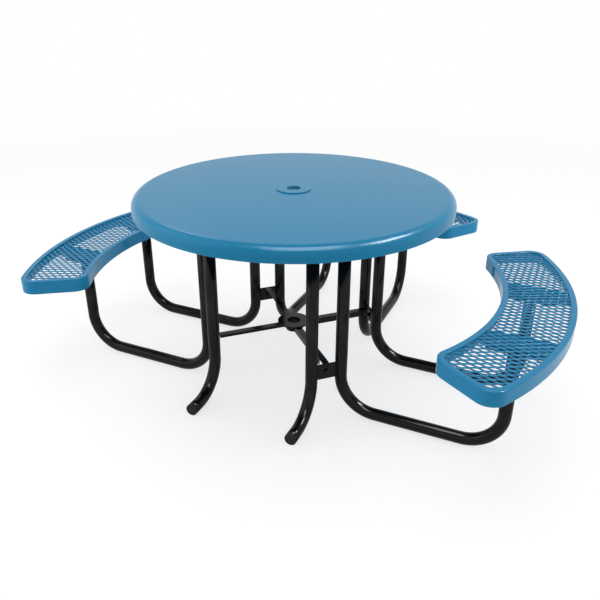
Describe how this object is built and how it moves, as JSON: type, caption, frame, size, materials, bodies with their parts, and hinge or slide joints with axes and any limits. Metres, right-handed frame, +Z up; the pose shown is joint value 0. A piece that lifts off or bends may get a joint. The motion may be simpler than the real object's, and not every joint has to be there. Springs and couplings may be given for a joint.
{
  "type": "round picnic table",
  "caption": "Round outdoor picnic table with a solid steel top, an umbrella hole, attached curved expanded-metal seats on bent tube legs, and one open side for a wheelchair.",
  "frame": {"origin": "on the floor, in the middle of the table's footprint; the pole axis is 215.9 mm from it towards the open side", "axes": "+Z up; -Y towards the open (wheelchair) side, +Y towards the back seat; X from the left seat to the right seat"},
  "size_m": [2.032, 1.6002, 0.766],
  "materials": {
    "top_coating": "thick satin plastic coating on steel",
    "seat_coating": "thick satin plastic coating on steel",
    "frame_powder_coat": "glossy black powder coat",
    "cap_plastic": "moulded black plastic",
    "zinc_hardware": "zinc plated",
    "black_hardware": "black coated"
  },
  "bodies": {
    "root": {"back_seat_channel_anticlockwise": "seat_coating", "back_seat_channel_clockwise": "seat_coating", "back_seat_mesh": "seat_coating", "back_seat_plate_anticlockwise": "frame_powder_coat", "back_seat_plate_clockwise": "frame_powder_coat", "back_seat_rim": "seat_coating", "back_seat_tube_anticlockwise": "frame_powder_coat", "back_seat_tube_clockwise": "frame_powder_coat", "brace_back_left": "frame_powder_coat", "brace_back_right": "frame_powder_coat", "brace_bolts": "black_hardware", "brace_front_left": "frame_powder_coat", "brace_front_right": "frame_powder_coat", "brace_nuts": "black_hardware", "corner_plate_back_left": "frame_powder_coat", "corner_plate_back_right": "frame_powder_coat", "corner_plate_front_left": "frame_powder_coat", "corner_plate_front_right": "frame_powder_coat", "foot_cap_left": "cap_plastic", "foot_cap_right": "cap_plastic", "front_leg_left": "frame_powder_coat", "front_leg_right": "frame_powder_coat", "hub_collar": "frame_powder_coat", "hub_plate": "frame_powder_coat", "left_seat_channel_anticlockwise": "seat_coating", "left_seat_channel_clockwise": "seat_coating", "left_seat_mesh": "seat_coating", "left_seat_plate_anticlockwise": "frame_powder_coat", "left_seat_plate_clockwise": "frame_powder_coat", "left_seat_rim": "seat_coating", "left_seat_tube_anticlockwise": "frame_powder_coat", "left_seat_tube_clockwise": "frame_powder_coat", "right_seat_channel_anticlockwise": "seat_coating", "right_seat_channel_clockwise": "seat_coating", "right_seat_mesh": "seat_coating", "right_seat_plate_anticlockwise": "frame_powder_coat", "right_seat_plate_clockwise": "frame_powder_coat", "right_seat_rim": "seat_coating", "right_seat_tube_anticlockwise": "frame_powder_coat", "right_seat_tube_clockwise": "frame_powder_coat", "seat_bolts": "zinc_hardware", "seat_nuts": "zinc_hardware", "table_top": "top_coating", "top_bolts": "zinc_hardware", "top_centre_ring": "top_coating", "top_channel_back_left": "top_coating", "top_channel_back_right": "top_coating", "top_channel_front_left": "top_coating", "top_channel_front_right": "top_coating", "top_nuts": "zinc_hardware", "top_plate_back_left": "frame_powder_coat", "top_plate_back_right": "frame_powder_coat", "top_plate_front_left": "frame_powder_coat", "top_plate_front_right": "frame_powder_coat", "umbrella_disc": "top_coating"}
  },
  "joints": []
}
